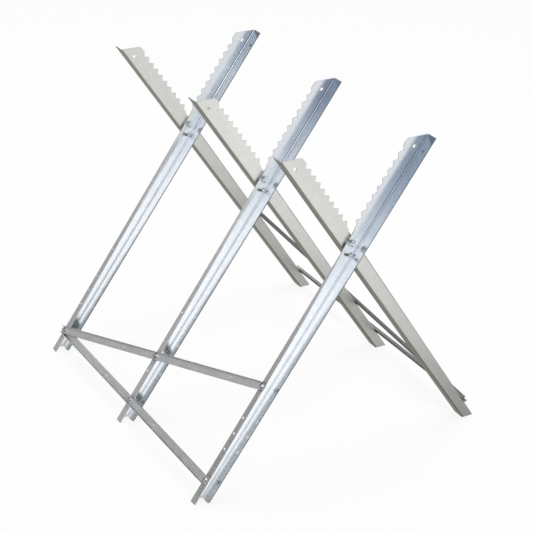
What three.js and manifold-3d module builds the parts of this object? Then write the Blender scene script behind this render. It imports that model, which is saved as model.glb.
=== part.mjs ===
// Folding saw horse for logs, in folded and galvanised sheet steel.
// Three crossed pairs of legs stand in a row. The upper half of each leg is a toothed jaw, and the lower
// half is a channel whose second flange grows towards the foot. Each pair turns on a pivot bolt, and a
// stop pin in two curved slots limits how far it opens. A foot brace and a diagonal brace tie the three
// near legs together, and two more tie the far legs.
// Millimetres, +Z up, +Y along the row, feet on z = 0.

import * as THREE from 'three';
import { mergeVertices } from 'three/addons/utils/BufferGeometryUtils.js';
import Module from 'manifold-3d';

const wasm = await Module();
wasm.setup();

const DEGREE = Math.PI / 180;

// Stance of the open saw horse
const frameSpacing = 390;
const pivotHeight = 565;
const legAngle = 55 * DEGREE;
const foldTravel = 66 * DEGREE;
const webGap = 4;

// Sheet of the legs
const sheet = 2;
const bendRadius = 1.2;
const blankWidth = 47;
const pivotShare = 0.51;
const outerFlange = 31;
const footCornerRadius = 3;

// Toothed jaw
const toothCount = 9;
const toothPitch = 22;
const toothDepth = 9.5;
const pivotToLowestTip = 50;
const stubLength = 5;
const stubRise = 2.2;
const lugInset = 1.3;
const lugLength = 27.5;
const lugCornerRadius = 12;
const hangHoleDiameter = 8.5;
const hangHoleFromTop = 28;
const hangHoleFromFold = 17.5;

// Neck at the pivot and the channel below it
const neckInset = 1.5;
const neckAbove = 28;
const neckBelow = 22;
const bendAllowance = 1;
const neckFlange = 5.6;
const neckBendInset = 1.1;
const footWebWidth = 26.5;
const shoulderBelow = 200;

// Row of brace holes in the second flange
const holePitch = 42;
const footToLowestHole = 60.5;
const holeStepShares = [0, 2, 3, 4, 6];
const holeSteps = 6;
const holeFromBack = 8.5;

// Pivot bolt, its nut and the spacer between the webs
const pivotBoltDiameter = 8;
const pivotAcrossFlats = 13;
const pivotHeadHeight = 5.3;
const pivotNutHeight = 8;
const pivotNutCollar = 2.2;
const pivotBoltTail = 1.2;
const spacerDiameter = 22;

// Stop pin, whose heads just clear the outer flange when the saw horse stands open
const stopPinDiameter = 6;
const stopHeadDiameter = 10;
const stopHeadHeight = 3.6;
const stopHeadRoom = 0.65;

// Braces
const braceSheet = 1.5;
const braceWidth = 20;
const braceLip = 7.5;
const braceBendRadius = 0.8;
const braceEnd = 8.5;
const braceJoggle = 12;
const spareHoleDiameter = 5;
const footSpareShares = [0.33, 0.667];
const diagonalSpareShares = [0.33, 0.667, 0.86];

// Brace bolts and nuts
const braceBoltDiameter = 6;
const braceFlangeDiameter = 13;
const braceFlangeHeight = 1.4;
const braceHeadAcrossFlats = 8;
const braceHeadHeight = 4.6;
const braceAcrossFlats = 10;
const braceNutHeight = 5;
const braceBoltTail = 1;

// Clearances and fineness
const seatGap = 0.3;
const overrun = 5;
const edgeBreak = 0.5;
const boltSides = 16;
const smallBoltSides = 12;
const bendFacets = 3;

// Places worked out along one leg, from the pivot: a is up the leg, b is towards the teeth
const foldToPivot = pivotShare * blankWidth;
const tipEdge = blankWidth - foldToPivot;
const valleyEdge = tipEdge - toothDepth;
const neckEdge = valleyEdge - neckInset;
const lugEdge = tipEdge - lugInset;
const outerRadius = bendRadius + sheet;
const topTip = pivotToLowestTip + (toothCount - 1) * toothPitch;
const topValley = topTip + toothPitch / 2;
const lugCorner = topValley + lugLength;
const topRise = lugCorner * Math.sin(legAngle) + lugEdge * Math.cos(legAngle);
const neckBend = valleyEdge - neckBendInset;
const footBend = footWebWidth - foldToPivot;
const footEnd = alongAtHeight(-pivotHeight, footBend);
const flangeSlope = (neckBend - footBend) / (-neckBelow - footEnd);
const tilt = Math.atan(flangeSlope);
const lowestHole = footEnd + footToLowestHole;
const slotRadius = (foldToPivot - sheet - stopHeadDiameter / 2 - stopHeadRoom) / Math.cos(legAngle);

// Distance up the leg of the point at a height above the pivot and an offset towards the teeth
function alongAtHeight(height, offset) {
  return (height - offset * Math.cos(legAngle)) / Math.sin(legAngle);
}

// Outer face of the second flange, as an offset from the pivot line
function bendAt(along) {
  return footBend + (along - footEnd) * flangeSlope;
}

// Depth of the second flange: it grows from the neck to the shoulder, then keeps the blank's full width
function flangeAt(along) {
  const full = tipEdge + bendAllowance - bendAt(along);
  const share = Math.min(1, (-neckBelow - along) / (shoulderBelow - neckBelow));
  return neckFlange + (full - neckFlange) * Math.max(0, share);
}

// Solids

function toSolid(geometry) {
  const bare = geometry.index ? geometry.toNonIndexed() : geometry.clone();
  bare.deleteAttribute('normal');
  bare.deleteAttribute('uv');
  const merged = mergeVertices(bare);
  return new wasm.Manifold(new wasm.Mesh({
    numProp: 3,
    vertProperties: new Float32Array(merged.attributes.position.array),
    triVerts: new Uint32Array(merged.index.array),
  }));
}

function toGeometry(solid) {
  const mesh = solid.getMesh();
  const geometry = new THREE.BufferGeometry();
  geometry.setAttribute('position', new THREE.BufferAttribute(new Float32Array(mesh.vertProperties), 3));
  geometry.setIndex(new THREE.BufferAttribute(new Uint32Array(mesh.triVerts), 1));
  geometry.computeVertexNormals();
  return geometry;
}

// Carry a section through a list of stations: place(x, y, station) gives each point of the swept solid
function sweep(section, stations, place, curveSegments = bendFacets) {
  const steps = stations.length - 1;
  const geometry = new THREE.ExtrudeGeometry(section, {
    depth: steps, steps, bevelEnabled: false, curveSegments,
  });
  const position = geometry.attributes.position;
  for (let i = 0; i < position.count; i += 1) {
    const station = stations[Math.round(position.getZ(i))];
    position.setXYZ(i, ...place(position.getX(i), position.getY(i), station));
  }
  return toSolid(geometry);
}

// Flat outline in the first two axes, given thickness along the third
function plate(outline, low, high, curveSegments = bendFacets) {
  return sweep(outline, [low, high], (x, y, z) => [x, y, z], curveSegments);
}

function cylinder(diameter, low, high, sides) {
  return turned([[0, low], [diameter / 2, low], [diameter / 2, high], [0, high]], sides);
}

// Solid of revolution about the third axis, from pairs of radius and height
function turned(profile, sides) {
  const points = profile.map(([radius, height]) => new THREE.Vector2(radius, height));
  const geometry = new THREE.LatheGeometry(points, sides);
  geometry.rotateX(Math.PI / 2);
  return toSolid(geometry);
}

function polygon(points) {
  return new THREE.Shape(points.map(([x, y]) => new THREE.Vector2(x, y)));
}

function hexagon(acrossFlats) {
  const corner = acrossFlats / Math.sqrt(3);
  const points = [];
  for (let i = 0; i < 6; i += 1) {
    const angle = (i + 0.5) * Math.PI / 3;
    points.push([corner * Math.cos(angle), corner * Math.sin(angle)]);
  }
  return polygon(points);
}

function hole(diameter, x, y, low, high, sides) {
  return cylinder(diameter, low, high, sides).translate([x, y, 0]);
}

// Leg, in its own axes: x up the leg, y towards the teeth, z away from the other leg of the pair

// Web and outer flange: an L with a rounded bend, wide enough for the teeth
function angleSection() {
  const fold = -foldToPivot;
  const section = new THREE.Shape();
  section.moveTo(fold, outerFlange);
  section.lineTo(fold, outerRadius);
  section.absarc(fold + outerRadius, outerRadius, outerRadius, Math.PI, 1.5 * Math.PI, false);
  section.lineTo(tipEdge, 0);
  section.lineTo(tipEdge, sheet);
  section.lineTo(fold + outerRadius, sheet);
  section.absarc(fold + outerRadius, outerRadius, bendRadius, 1.5 * Math.PI, Math.PI, true);
  section.lineTo(fold + sheet, outerFlange);
  return section;
}

// Outline of the web: foot, tapering lower edge, neck, teeth, lug and the level top
function webOutline() {
  const fold = -foldToPivot - overrun;
  const edge = (along) => bendAt(along) - outerRadius;
  const outline = new THREE.Shape();
  outline.moveTo(alongAtHeight(-pivotHeight, fold), fold);
  outline.lineTo(alongAtHeight(topRise, fold), fold);
  const centreAlong = lugCorner - lugCornerRadius * Math.tan(legAngle / 2);
  const centreOffset = lugEdge - lugCornerRadius;
  const upright = Math.PI / 2 - legAngle;
  outline.absarc(centreAlong, centreOffset, lugCornerRadius, upright, Math.PI / 2, false);
  outline.lineTo(topValley + (lugEdge - valleyEdge) * toothPitch / (2 * toothDepth), lugEdge);
  outline.lineTo(topValley, valleyEdge);
  for (let i = 0; i < toothCount; i += 1) {
    const tip = topTip - i * toothPitch;
    outline.lineTo(tip, tipEdge);
    outline.lineTo(tip - toothPitch / 2, valleyEdge);
  }
  const lowestValley = pivotToLowestTip - toothPitch / 2;
  outline.lineTo(lowestValley - stubLength, valleyEdge + stubRise);
  outline.lineTo(neckAbove, neckEdge);
  outline.lineTo(-neckBelow, neckEdge);
  outline.lineTo(-neckBelow, edge(-neckBelow));
  outline.lineTo(alongAtHeight(-pivotHeight, edge(footEnd)), edge(footEnd));
  return outline;
}

// Second flange with its bend, as a section whose outer face lies at x = 0
function flangeSection(reach) {
  const section = new THREE.Shape();
  section.moveTo(-outerRadius - sheet, 0);
  section.lineTo(-outerRadius, 0);
  section.absarc(-outerRadius, outerRadius, outerRadius, 1.5 * Math.PI, 2 * Math.PI, false);
  section.lineTo(0, reach);
  section.lineTo(-sheet, reach);
  section.lineTo(-sheet, outerRadius);
  section.absarc(-outerRadius, outerRadius, bendRadius, 2 * Math.PI, 1.5 * Math.PI, true);
  section.lineTo(-outerRadius - sheet, sheet);
  return section;
}

function secondFlange() {
  const reach = flangeAt(footEnd);
  const stations = [footEnd - overrun, -shoulderBelow, -neckBelow];
  return sweep(flangeSection(reach), stations, (x, y, along) => {
    const grown = y > outerRadius ? outerRadius + (y - outerRadius) / (reach - outerRadius)
      * (flangeAt(along) - outerRadius) : y;
    return [along, x + bendAt(along), grown];
  });
}

// Curved slot about the pivot, for the stop pin
function stopSlot() {
  const half = stopPinDiameter / 2 + seatGap;
  const slack = seatGap / slotRadius;
  const open = Math.PI + Math.PI / 2 - legAngle + slack;
  const folded = open - foldTravel / 2 - 2 * slack;
  const slot = new THREE.Shape();
  slot.absarc(0, 0, slotRadius + half, folded, open, false);
  slot.absarc(slotRadius * Math.cos(open), slotRadius * Math.sin(open), half, open, open + Math.PI, false);
  slot.absarc(0, 0, slotRadius - half, open, folded, true);
  slot.absarc(slotRadius * Math.cos(folded), slotRadius * Math.sin(folded), half,
    folded + Math.PI, folded + 2 * Math.PI, false);
  return plate(slot, -overrun, sheet + overrun, bendFacets * 2);
}

function legSolid() {
  const foot = alongAtHeight(-pivotHeight, tipEdge) - overrun;
  const top = alongAtHeight(topRise, -foldToPivot) + overrun;
  const angle = sweep(angleSection(), [foot, top], (x, y, along) => [along, x, y]);
  const cut = plate(webOutline(), -overrun, outerFlange + overrun, bendFacets * 2);
  const ground = plate(polygon([
    [alongAtHeight(-pivotHeight, -blankWidth), -blankWidth],
    [top, -blankWidth],
    [top, blankWidth],
    [alongAtHeight(-pivotHeight, blankWidth), blankWidth],
  ]), -overrun, outerFlange + overrun);
  let leg = angle.intersect(cut).add(secondFlange().intersect(ground));
  leg = leg.subtract(hole(pivotBoltDiameter + 2 * seatGap, 0, 0, -overrun, sheet + overrun, boltSides));
  const hangOffset = hangHoleFromFold - foldToPivot;
  const hangAlong = alongAtHeight(topRise, hangOffset) - hangHoleFromTop;
  leg = leg.subtract(hole(hangHoleDiameter, hangAlong, hangOffset, -overrun, sheet + overrun, boltSides));
  leg = leg.subtract(stopSlot());
  leg = leg.subtract(footCorner());
  for (const steps of holeStepShares) {
    leg = leg.subtract(braceHole(lowestHole + (holeSteps - steps) * holePitch));
  }
  return leg;
}

// What the rounded lower corner of the outer flange leaves out
function footCorner() {
  const foot = alongAtHeight(-pivotHeight, -foldToPivot);
  const outside = outerFlange + overrun;
  const corner = new THREE.Shape();
  corner.moveTo(foot - overrun, outside);
  corner.lineTo(foot + footCornerRadius, outside);
  corner.lineTo(foot + footCornerRadius, outerFlange);
  corner.absarc(foot + footCornerRadius, outerFlange - footCornerRadius, footCornerRadius,
    Math.PI / 2, Math.PI, false);
  corner.lineTo(foot - overrun, outerFlange - footCornerRadius);
  const low = -foldToPivot - overrun;
  const high = -foldToPivot + sheet + overrun;
  return sweep(corner, [high, low], (x, y, across) => [x, across, y]);
}

// Hole through the second flange, square to it
function braceHole(along) {
  const drill = cylinder(braceBoltDiameter + 2 * seatGap, -sheet - overrun, overrun, smallBoltSides);
  const matrix = new THREE.Matrix4().makeRotationZ(tilt);
  matrix.multiply(new THREE.Matrix4().makeRotationX(-Math.PI / 2));
  matrix.setPosition(along, bendAt(along), holeFromBack);
  return drill.transform(matrix.toArray());
}

// Braces, in the plane of the second flanges: x towards the front frame, y up the legs, z outwards.
// The lowest hole of the back leg is at x = 0, y = 0, and z = 0 is the outer face of the flanges.

const holeRise = holePitch / Math.cos(tilt);
const diagonalRise = holeSteps * holeRise;
const diagonalAngle = Math.atan2(diagonalRise, 2 * frameSpacing);
const diagonalLength = Math.hypot(diagonalRise, 2 * frameSpacing);
const braceTop = seatGap + braceSheet;

// Channel with two lips that point outwards, its back on z = seatGap
function channelSection() {
  const half = braceWidth / 2;
  const outer = braceBendRadius + braceSheet;
  const tip = seatGap + braceLip;
  const base = seatGap;
  const section = new THREE.Shape();
  section.moveTo(-half, tip);
  section.lineTo(-half, base + outer);
  section.absarc(-half + outer, base + outer, outer, Math.PI, 1.5 * Math.PI, false);
  section.lineTo(half - outer, base);
  section.absarc(half - outer, base + outer, outer, 1.5 * Math.PI, 2 * Math.PI, false);
  section.lineTo(half, tip);
  section.lineTo(half - braceSheet, tip);
  section.lineTo(half - braceSheet, base + outer);
  section.absarc(half - outer, base + outer, braceBendRadius, 2 * Math.PI, 1.5 * Math.PI, true);
  section.lineTo(-half + outer, base + braceSheet);
  section.absarc(-half + outer, base + outer, braceBendRadius, 1.5 * Math.PI, Math.PI, true);
  section.lineTo(-half + braceSheet, tip);
  return section;
}

function braceDrill(diameter, along) {
  return hole(diameter, along, 0, -overrun, braceLip, smallBoltSides);
}

function drillBrace(brace, length, spareShares) {
  let drilled = brace;
  for (const share of [0, 0.5, 1]) {
    drilled = drilled.subtract(braceDrill(braceBoltDiameter + 2 * seatGap, share * length));
  }
  for (const share of spareShares) {
    drilled = drilled.subtract(braceDrill(spareHoleDiameter, share * length));
  }
  return drilled;
}

// Where the lower edge of the diagonal has cleared the upper edge of the foot brace
const crossingEnd = (braceWidth / 2 + 2 * seatGap) * (1 + 1 / Math.cos(diagonalAngle))
  / Math.tan(diagonalAngle);

function footBraceSolid() {
  const length = 2 * frameSpacing;
  const stations = [-braceEnd, length + braceEnd];
  const brace = sweep(channelSection(), stations, (x, y, along) => [along, x, y]);
  const lipCut = plate(polygon([
    [-braceEnd - overrun, braceWidth / 2 - braceBendRadius - braceSheet],
    [crossingEnd, braceWidth / 2 - braceBendRadius - braceSheet],
    [crossingEnd, braceWidth / 2 + overrun],
    [-braceEnd - overrun, braceWidth / 2 + overrun],
  ]), braceTop, braceLip + overrun);
  return drillBrace(brace.subtract(lipCut), length, footSpareShares);
}

// The diagonal lies on the foot brace at the back leg and steps down to the flanges after it
function diagonalBraceSolid() {
  const lift = braceSheet + seatGap;
  const stepStart = crossingEnd / Math.cos(diagonalAngle);
  const stations = [
    { along: -braceEnd, lift },
    { along: stepStart, lift },
    { along: stepStart + braceJoggle, lift: 0 },
    { along: diagonalLength + braceEnd, lift: 0 },
  ];
  const brace = sweep(channelSection(), stations, (x, y, station) => [station.along, x, y + station.lift]);
  const drilled = drillBrace(brace, diagonalLength, diagonalSpareShares);
  const turned = drilled.rotate([0, 0, diagonalAngle / DEGREE]);
  const innerLip = braceWidth / 2 - braceSheet - seatGap;
  const lipRoom = plate(polygon([
    [-braceWidth, -braceWidth],
    [braceWidth, -braceWidth],
    [braceWidth, -innerLip],
    [-braceWidth, -innerLip],
  ]), -overrun, 2 * braceLip);
  return turned.subtract(lipRoom);
}

// Fasteners, with their axis along z

// Bolt with a flanged hexagon head: the head stands up from z = 0 and the shank hangs below it
function flangeBoltSolid(grip) {
  const shank = braceBoltDiameter / 2;
  const flange = braceFlangeDiameter / 2;
  const inside = braceHeadAcrossFlats / 2 - edgeBreak;
  const body = turned([
    [0, -grip],
    [shank - edgeBreak, -grip],
    [shank, -grip + edgeBreak],
    [shank, 0],
    [flange - edgeBreak, 0],
    [flange, edgeBreak],
    [inside, braceFlangeHeight],
    [0, braceFlangeHeight],
  ], smallBoltSides);
  const hexBase = edgeBreak;
  const head = hexBlock(braceHeadAcrossFlats, braceHeadHeight - hexBase, smallBoltSides);
  return body.add(head.translate([0, 0, hexBase]));
}

// Six-sided block with both faces chamfered, from z = 0 up
function hexBlock(acrossFlats, height, sides) {
  const corner = acrossFlats / Math.sqrt(3) + edgeBreak;
  const flat = acrossFlats / 2 - edgeBreak / 2;
  const barrel = turned([
    [0, 0],
    [flat, 0],
    [corner, corner - flat],
    [corner, height - corner + flat],
    [flat, height],
    [0, height],
  ], sides);
  return plate(hexagon(acrossFlats), 0, height).intersect(barrel);
}

function braceNutSolid() {
  const nut = hexBlock(braceAcrossFlats, braceNutHeight, smallBoltSides);
  const bore = cylinder(braceBoltDiameter + 2 * seatGap, -overrun, braceNutHeight + overrun, smallBoltSides);
  return nut.subtract(bore);
}

// Locking nut: a hexagon with a round collar that holds the insert
function pivotNutSolid() {
  const hexHeight = pivotNutHeight - pivotNutCollar;
  const collar = pivotAcrossFlats / 2 - edgeBreak;
  const ring = turned([
    [0, hexHeight - edgeBreak],
    [collar, hexHeight - edgeBreak],
    [collar, pivotNutHeight - 2 * edgeBreak],
    [collar - edgeBreak, pivotNutHeight - edgeBreak / 2],
    [collar - 2 * edgeBreak, pivotNutHeight],
    [0, pivotNutHeight],
  ], boltSides);
  const bore = cylinder(pivotBoltDiameter + 2 * seatGap, -overrun, pivotNutHeight + overrun, boltSides);
  return hexBlock(pivotAcrossFlats, hexHeight, boltSides).add(ring).subtract(bore);
}

// Distance from the middle of a pair to where a head or nut seats on a web
const webFace = webGap / 2 + sheet + seatGap;

// Bolt through both webs, its head on the far leg and its tail through the nut on the near leg
function pivotBoltSolid() {
  const shank = pivotBoltDiameter / 2;
  const tail = webFace + pivotNutHeight + pivotBoltTail;
  const stem = turned([
    [0, -webFace - edgeBreak],
    [shank, -webFace - edgeBreak],
    [shank, tail - edgeBreak],
    [shank - edgeBreak, tail],
    [0, tail],
  ], boltSides);
  const head = hexBlock(pivotAcrossFlats, pivotHeadHeight, boltSides);
  return stem.add(head.translate([0, 0, -webFace - pivotHeadHeight]));
}

function spacerSolid() {
  const half = webGap / 2 - seatGap;
  const bore = cylinder(pivotBoltDiameter + 2 * seatGap, -overrun, overrun, boltSides);
  return turned([
    [0, -half],
    [spacerDiameter / 2 - edgeBreak, -half],
    [spacerDiameter / 2, -half + edgeBreak],
    [spacerDiameter / 2, half - edgeBreak],
    [spacerDiameter / 2 - edgeBreak, half],
    [0, half],
  ], boltSides).subtract(bore);
}

// Stop pin: a rivet with a round head on each web
function stopPinSolid() {
  const shank = stopPinDiameter / 2;
  const head = stopHeadDiameter / 2;
  const crownShares = [[1, 0], [1, 0.25], [0.85, 0.6], [0.5, 0.9]];
  const crown = crownShares.map(([radiusShare, heightShare]) => (
    [head * radiusShare, webFace + stopHeadHeight * heightShare]));
  const top = webFace + stopHeadHeight;
  const profile = [
    [0, -top],
    ...crown.map(([radius, height]) => [radius, -height]).reverse(),
    [shank, -webFace],
    [shank, webFace],
    ...crown,
    [0, top],
  ];
  return turned(profile, smallBoltSides);
}

// Finishes

function metal(color, roughness) {
  return new THREE.MeshStandardMaterial({ color, roughness, metalness: 0.9 });
}

const legSteel = metal(0xc9cdd2, 0.34);
const braceSteel = metal(0xaeb0ae, 0.42);
const boltSteel = metal(0xd0d4d8, 0.25);

// Assembly

const legGeometry = toGeometry(legSolid());
const footBraceGeometry = toGeometry(footBraceSolid());
const diagonalBraceGeometry = toGeometry(diagonalBraceSolid());
const nutThrough = sheet + seatGap + braceNutHeight + braceBoltTail;
const singleBoltGeometry = toGeometry(flangeBoltSolid(braceTop + seatGap + nutThrough));
const doubleBoltGeometry = toGeometry(flangeBoltSolid(2 * (braceTop + seatGap) - seatGap + nutThrough));
const braceNutGeometry = toGeometry(braceNutSolid());
const pivotBoltGeometry = toGeometry(pivotBoltSolid());
const pivotNutGeometry = toGeometry(pivotNutSolid());
const spacerGeometry = toGeometry(spacerSolid());
const stopPinGeometry = toGeometry(stopPinSolid());

function piece(name, geometry, material) {
  const mesh = new THREE.Mesh(geometry, material);
  mesh.name = name;
  return mesh;
}

function legPlace(mesh, alongRow) {
  mesh.rotation.set(Math.PI / 2, -legAngle, 0, 'YXZ');
  mesh.position.set(0, alongRow - webGap / 2, pivotHeight);
  return mesh;
}

// Plane of the second flanges, which leans a little more than the legs
function bracePlane() {
  const lean = legAngle + tilt;
  const plane = new THREE.Group();
  const axes = new THREE.Matrix4().makeBasis(
    new THREE.Vector3(0, -1, 0),
    new THREE.Vector3(Math.cos(lean), 0, Math.sin(lean)),
    new THREE.Vector3(-Math.sin(lean), 0, Math.cos(lean)),
  );
  plane.quaternion.setFromRotationMatrix(axes);
  const offset = bendAt(lowestHole);
  plane.position.set(
    lowestHole * Math.cos(legAngle) - offset * Math.sin(legAngle),
    frameSpacing - webGap / 2 - holeFromBack,
    pivotHeight + lowestHole * Math.sin(legAngle) + offset * Math.cos(legAngle),
  );
  return plane;
}

// Three legs of one side, tied by their braces. The first frame name is that of the vertex of the braces.
function legSide(side, frameNames) {
  const group = new THREE.Group();
  frameNames.forEach((frame, index) => {
    const alongRow = (1 - index) * frameSpacing;
    group.add(legPlace(piece(`leg_${side}_${frame}`, legGeometry, legSteel), alongRow));
  });
  const plane = bracePlane();
  plane.add(piece(`foot_brace_${side}`, footBraceGeometry, braceSteel));
  plane.add(piece(`diagonal_brace_${side}`, diagonalBraceGeometry, braceSteel));
  const bolt = (label, geometry, x, y, seat) => {
    const screw = piece(`brace_bolt_${side}_${label}`, geometry, boltSteel);
    screw.position.set(x, y, seat);
    const nut = piece(`brace_nut_${side}_${label}`, braceNutGeometry, boltSteel);
    nut.position.set(x, y, -sheet - seatGap - braceNutHeight);
    plane.add(screw, nut);
  };
  const single = braceTop + seatGap;
  bolt(frameNames[0], doubleBoltGeometry, 0, 0, 2 * single - seatGap);
  for (const index of [1, 2]) {
    const x = index * frameSpacing;
    bolt(`${frameNames[index]}_foot`, singleBoltGeometry, x, 0, single);
    bolt(`${frameNames[index]}_diagonal`, singleBoltGeometry, x, index * diagonalRise / 2, single);
  }
  group.add(plane);
  return group;
}

const sawHorse = new THREE.Group();
const frameOrder = ['back', 'middle', 'front'];
sawHorse.add(legSide('near', frameOrder));
const farSide = legSide('far', [...frameOrder].reverse());
farSide.rotation.z = Math.PI;
sawHorse.add(farSide);

frameOrder.forEach((frame, index) => {
  const joint = new THREE.Group();
  joint.position.set(0, (1 - index) * frameSpacing, pivotHeight);
  joint.rotation.x = Math.PI / 2;
  const nut = piece(`pivot_nut_${frame}`, pivotNutGeometry, boltSteel);
  nut.position.z = webFace;
  const stopPin = piece(`stop_pin_${frame}`, stopPinGeometry, boltSteel);
  stopPin.position.y = -slotRadius;
  joint.add(
    piece(`pivot_bolt_${frame}`, pivotBoltGeometry, boltSteel),
    nut,
    piece(`pivot_spacer_${frame}`, spacerGeometry, boltSteel),
    stopPin,
  );
  sawHorse.add(joint);
});

export default sawHorse;
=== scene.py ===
import math

import bmesh
import bpy
import numpy as np
from mathutils import Matrix, Vector


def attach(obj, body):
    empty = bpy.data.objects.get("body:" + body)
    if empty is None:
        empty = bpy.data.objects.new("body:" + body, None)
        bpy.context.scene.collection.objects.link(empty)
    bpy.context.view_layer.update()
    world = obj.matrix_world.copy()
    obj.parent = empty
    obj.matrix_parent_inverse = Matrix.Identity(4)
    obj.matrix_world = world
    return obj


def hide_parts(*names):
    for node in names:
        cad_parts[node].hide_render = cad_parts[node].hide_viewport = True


# Looks of a folding saw horse for logs: three crossed pairs of toothed legs in folded, galvanised
# sheet steel, with braces, pivot bolts and stop pins. Metres, +Z up, +Y along the row of pairs.
# The legs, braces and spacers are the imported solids, with softened edges and new finishes. The bolts,
# nuts and stop pins are modelled again here with threads, collars and rounded heads.

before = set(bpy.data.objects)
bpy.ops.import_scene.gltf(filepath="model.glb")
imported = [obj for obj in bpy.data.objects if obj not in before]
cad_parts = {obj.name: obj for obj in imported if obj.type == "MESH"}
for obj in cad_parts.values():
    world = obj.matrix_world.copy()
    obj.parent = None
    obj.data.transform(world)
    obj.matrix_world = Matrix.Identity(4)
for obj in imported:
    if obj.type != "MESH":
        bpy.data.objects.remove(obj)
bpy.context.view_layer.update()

MM = 0.001

# Sizes repeated from the construction
FRAME_SPACING = 390 * MM
PIVOT_HEIGHT = 565 * MM
LEG_ANGLE = math.radians(55)
WEB_GAP = 4 * MM
SHEET = 2 * MM
SEAT_GAP = 0.3 * MM
FOLD_TO_PIVOT = 23.97 * MM
VALLEY_EDGE = 13.5 * MM
OUTER_FLANGE = 31 * MM
SLOT_RADIUS = 28.5 * MM
PIVOT_BOLT = 8 * MM
PIVOT_FLATS = 13 * MM
PIVOT_HEAD = 5.3 * MM
PIVOT_NUT = 8 * MM
PIVOT_COLLAR = 2.2 * MM
PIVOT_TAIL = 1.2 * MM
STOP_PIN = 6 * MM
STOP_HEAD = 10 * MM
STOP_HEAD_HEIGHT = 3.6 * MM
BRACE_BOLT = 6 * MM
BRACE_FLANGE = 13 * MM
BRACE_FLANGE_HEIGHT = 1.4 * MM
BRACE_HEAD_FLATS = 8 * MM
BRACE_HEAD_HEIGHT = 4.6 * MM
BRACE_NUT_FLATS = 10 * MM
BRACE_NUT_HEIGHT = 5 * MM
BRACE_TAIL = 1 * MM
BRACE_SHEET = 1.5 * MM
PIVOT_PITCH = 1.25 * MM
BRACE_PITCH = 1.0 * MM
PIVOT_HEAD_CHAMFER = 0.9 * MM
PIVOT_NUT_CHAMFER = 0.8 * MM
BRACE_HEAD_CHAMFER = 0.6 * MM
BRACE_NUT_CHAMFER = 0.7 * MM
FOOT_WEB = 26.5 * MM
NECK_BEND = VALLEY_EDGE - 1.1 * MM
NECK_BELOW = 22 * MM
FOOT_TO_LOWEST_HOLE = 60.5 * MM
HOLE_PITCH = 42 * MM
HOLE_STEPS = 6
HOLE_FROM_BACK = 8.5 * MM

FRAMES = ("back", "middle", "front")
WEB_FACE = WEB_GAP / 2 + SHEET + SEAT_GAP
FOOT_BEND = FOOT_WEB - FOLD_TO_PIVOT
FOOT_END = -(PIVOT_HEIGHT + FOOT_BEND * math.cos(LEG_ANGLE)) / math.sin(LEG_ANGLE)
FLANGE_SLOPE = (NECK_BEND - FOOT_BEND) / (-NECK_BELOW - FOOT_END)
FLANGE_TILT = math.atan(FLANGE_SLOPE)
LOWEST_HOLE = FOOT_END + FOOT_TO_LOWEST_HOLE

# Small forms of the fasteners
HEX_OVERRUN = 0.4 * MM
HEX_INSET = 0.1 * MM
BORE_EASE = 0.5 * MM
WASHER_STEP = 0.4 * MM
WASHER_INSET = 0.3 * MM
HEAD_SINK = 0.05 * MM
OVERLAP = 0.2 * MM
THREAD_OVERLAP = 0.5 * MM
COLLAR_INSET = 0.6 * MM
COLLAR_WALL = 0.7 * MM
COLLAR_OPENING = 0.9 * MM
COLLAR_LIP = 0.5 * MM
RING_GRIP = 0.15 * MM
RING_EASE = 0.4 * MM
RING_INSET = 0.8 * MM
RIM = 0.5 * MM
RIM_INSET = 0.3 * MM
ROUNDING = 0.25 * MM
CORNER_SHARE = 0.45
FINE_COLUMNS = 72
ROUND_COLUMNS = 48
SHANK_COLUMNS = 40
# Thread, in shares of its pitch
THREAD_CREST = 0.12
THREAD_DEPTH = 0.46
THREAD_FADE = 0.8
THREAD_ENTRY = 0.25
# Stop pin: the share of the head's height that stands straight, the domed rest, and how square the dome is
STOP_FRONT = (0.22, 0.78, 0.8)
STOP_BACK = (0.30, 0.60, 0.45)
STOP_BACK_SHARE = 0.97
STOP_BACK_SEAT = 0.93
STOP_FRONT_SEAT = 0.96

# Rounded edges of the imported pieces
LEG_EDGE = 0.35 * MM
BRACE_EDGE = 0.25 * MM
SPACER_EDGE = 0.1 * MM
WELD_REACH = 0.01 * MM
FLAT_WITHIN = math.radians(0.5)
BEVEL_FROM = math.radians(50)
SHARP_FROM = math.radians(38)

# Camera, in the photograph's own square frame
PHOTO_PIXELS = 533
FOCAL_PIXELS = 1653.6
CAMERA_PLACE = (-1.8633, -3.1397, 2.1812)
CAMERA_YAW = math.radians(-30.92)
CAMERA_PITCH = math.radians(26.91)
CAMERA_ROLL = math.radians(1.96)
SENSOR = 36.0

# Studio. A pair is a ramp on a wall or the floor: the middle of the change, and how wide it is
FLOOR_SPAN = 60.0
FLOOR_DROP = 1.2 * MM
FLOOR_GREY = (0.93, 0.93, 0.92, 1.0)
FLOOR_GLOW = 0.88
CARD_DISTANCE = 1.9
CARD_REACH = 6.0
CARD_HEIGHT = 3.4
END_CARD_LOW = 0.9
END_CARD_TOP = CARD_HEIGHT + 2.6
END_CARD_DISTANCE = 3.6
FLOOR_CARD_DROP = 0.2 * MM
BRIGHT_END = (-1.35, 0.3)
PANEL_TOP = (1.5, 0.16)
DUSK_FROM = (2.75, 0.7)
STRIP_LOW = (1.6, 0.2)
STRIP_HIGH = (2.7, 0.3)
FAR_END = (1.1, 0.3)
END_DUSK_FROM = (1.85, 0.6)
FAR_HAZE_ALONG = (2.52, 0.5)
FAR_HAZE_LOW = (1.2, 0.2)
FAR_HAZE_HIGH = (2.15, 0.7)
FLOOR_PALE_FROM = (0.8, 1.2)
PANEL_WHITE = (1.70, 1.66, 1.62)
HAZE_BLUE = (0.88, 0.95, 1.05)
FAR_HAZE = (1.02, 1.07, 1.14)
END_DUSK = (0.13, 0.17, 0.26)
DUSK_BLUE = (0.12, 0.19, 0.30)
END_GREY = (0.10, 0.10, 0.11)
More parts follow.
